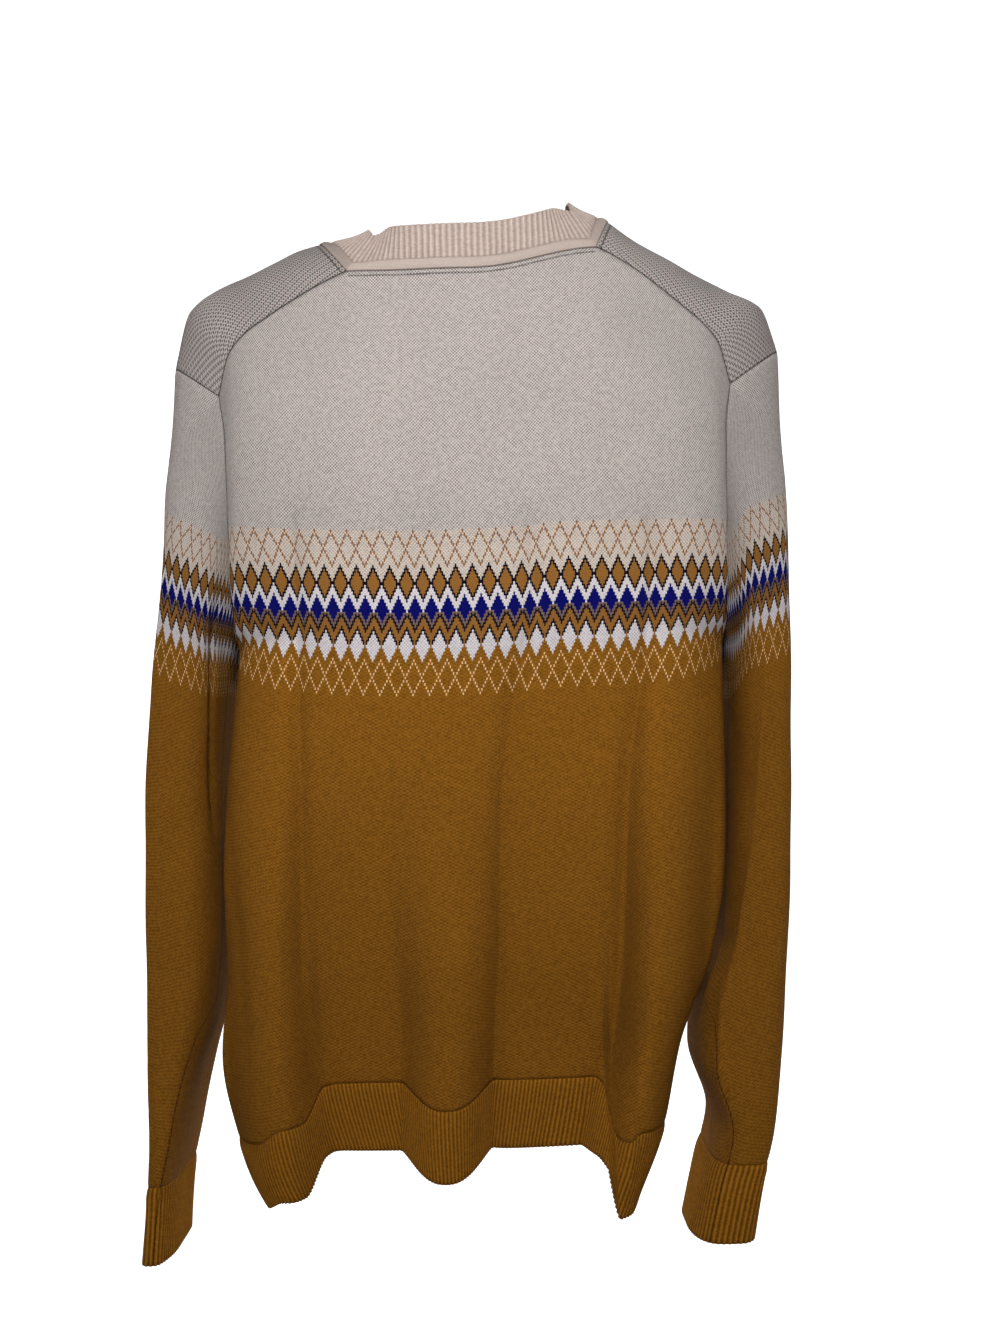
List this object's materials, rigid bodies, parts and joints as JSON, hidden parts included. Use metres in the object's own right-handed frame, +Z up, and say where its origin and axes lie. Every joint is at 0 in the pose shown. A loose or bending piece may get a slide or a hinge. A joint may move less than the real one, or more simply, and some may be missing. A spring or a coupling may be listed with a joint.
{
  "type": "knitted sweater",
  "caption": "Long-sleeved crew-neck knitted sweater hanging as worn, hollow, with ribbed collar, cuffs and hem, open at neck, cuffs and hem",
  "frame": {"origin": "where the garment is held: inside the neck at shoulder height, midway between the shoulders and between back and front", "axes": "+Z up; +X to the right as the back is looked at; +Y the way a wearer would face"},
  "size_m": [0.4865, 0.2008, 0.7775],
  "materials": {
    "argyle_knit": "fine wool jersey knitted in several colours, matt and slightly fuzzy",
    "ochre_knit": "ribbed wool in brownish ochre, matt",
    "beige_knit": "ribbed wool in warm beige, matt"
  },
  "bodies": {
    "root": {"back_panel": "argyle_knit", "front_panel": "argyle_knit", "sleeve_left": "argyle_knit", "sleeve_right": "argyle_knit", "hem_rib_back": "ochre_knit", "hem_rib_front": "ochre_knit", "cuff_left": "ochre_knit", "cuff_right": "ochre_knit", "collar_band": "beige_knit", "collar_rib": "beige_knit"}
  },
  "joints": []
}
